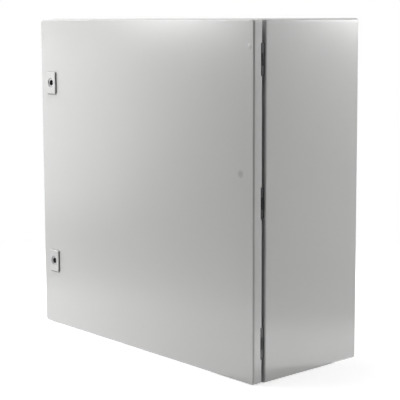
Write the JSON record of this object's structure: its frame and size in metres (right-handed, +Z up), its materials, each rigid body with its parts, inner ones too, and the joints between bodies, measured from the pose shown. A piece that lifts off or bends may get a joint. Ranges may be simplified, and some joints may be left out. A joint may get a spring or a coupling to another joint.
{
  "type": "electrical enclosure",
  "caption": "Wall-mounted folded sheet steel electrical enclosure with a hinged door, quarter-turn locks, a mounting plate and a gland plate.",
  "frame": {"origin": "under the middle of the box, on the surface that its base rests on", "axes": "+Z up, +Y out of the back towards the wall, +X to the right as seen from the front, where the door is hinged"},
  "size_m": [0.6, 0.2532, 0.6],
  "materials": {
    "paint": "light grey powder coat with a fine texture",
    "lock_body": "light grey coated zinc casting",
    "lock_core": "plated zinc casting",
    "hinge_steel": "dull plated steel",
    "galvanised": "galvanised sheet",
    "zinc": "bright zinc plate",
    "foam": "black foamed gasket"
  },
  "bodies": {
    "enclosure": {"body_shell": "paint", "mounting_studs": "zinc", "plate_spacers": "zinc", "mounting_plate": "galvanised", "plate_washers": "zinc", "plate_nuts": "zinc", "gland_gasket": "foam", "gland_plate": "galvanised", "gland_studs": "zinc", "gland_nuts": "zinc", "body_earth_stud": "zinc", "body_earth_nut": "zinc", "hinge_body_leaf_top": "hinge_steel", "hinge_body_leaf_middle": "hinge_steel", "hinge_body_leaf_bottom": "hinge_steel", "hinge_pin_top": "hinge_steel", "hinge_pin_middle": "hinge_steel", "hinge_pin_bottom": "hinge_steel", "hinge_body_screws": "zinc"},
    "door": {"door_panel": "paint", "door_gasket": "foam", "door_rail_left": "galvanised", "door_rail_right": "galvanised", "door_rail_studs": "zinc", "door_rail_nuts": "zinc", "hinge_door_leaf_top": "hinge_steel", "hinge_door_leaf_middle": "hinge_steel", "hinge_door_leaf_bottom": "hinge_steel", "hinge_door_studs": "zinc", "hinge_door_nuts": "zinc", "door_earth_stud": "zinc", "door_earth_nut": "zinc", "lock_housing_upper": "lock_body", "lock_housing_lower": "lock_body", "lock_seal_upper": "foam", "lock_seal_lower": "foam", "lock_nut_upper": "zinc", "lock_nut_lower": "zinc"},
    "lock_upper": {"lock_insert_upper": "lock_core", "lock_clip_upper": "hinge_steel", "lock_cam_upper": "zinc", "lock_cam_screw_upper": "zinc"},
    "lock_lower": {"lock_insert_lower": "lock_core", "lock_clip_lower": "hinge_steel", "lock_cam_lower": "zinc", "lock_cam_screw_lower": "zinc"}
  },
  "joints": [
    {"name": "door_hinge", "type": "hinge", "parent": "enclosure", "child": "door", "pos_m": [0.296, -0.1039, 0.3], "axis": [0, 0, 1], "range_deg": [0, 120]},
    {"name": "lock_upper_turn", "type": "hinge", "parent": "door", "child": "lock_upper", "pos_m": [-0.263, -0.1234, 0.477], "axis": [0, 1, 0], "range_deg": [0, 90]},
    {"name": "lock_lower_turn", "type": "hinge", "parent": "door", "child": "lock_lower", "pos_m": [-0.263, -0.1234, 0.127], "axis": [0, 1, 0], "range_deg": [0, 90]}
  ]
}
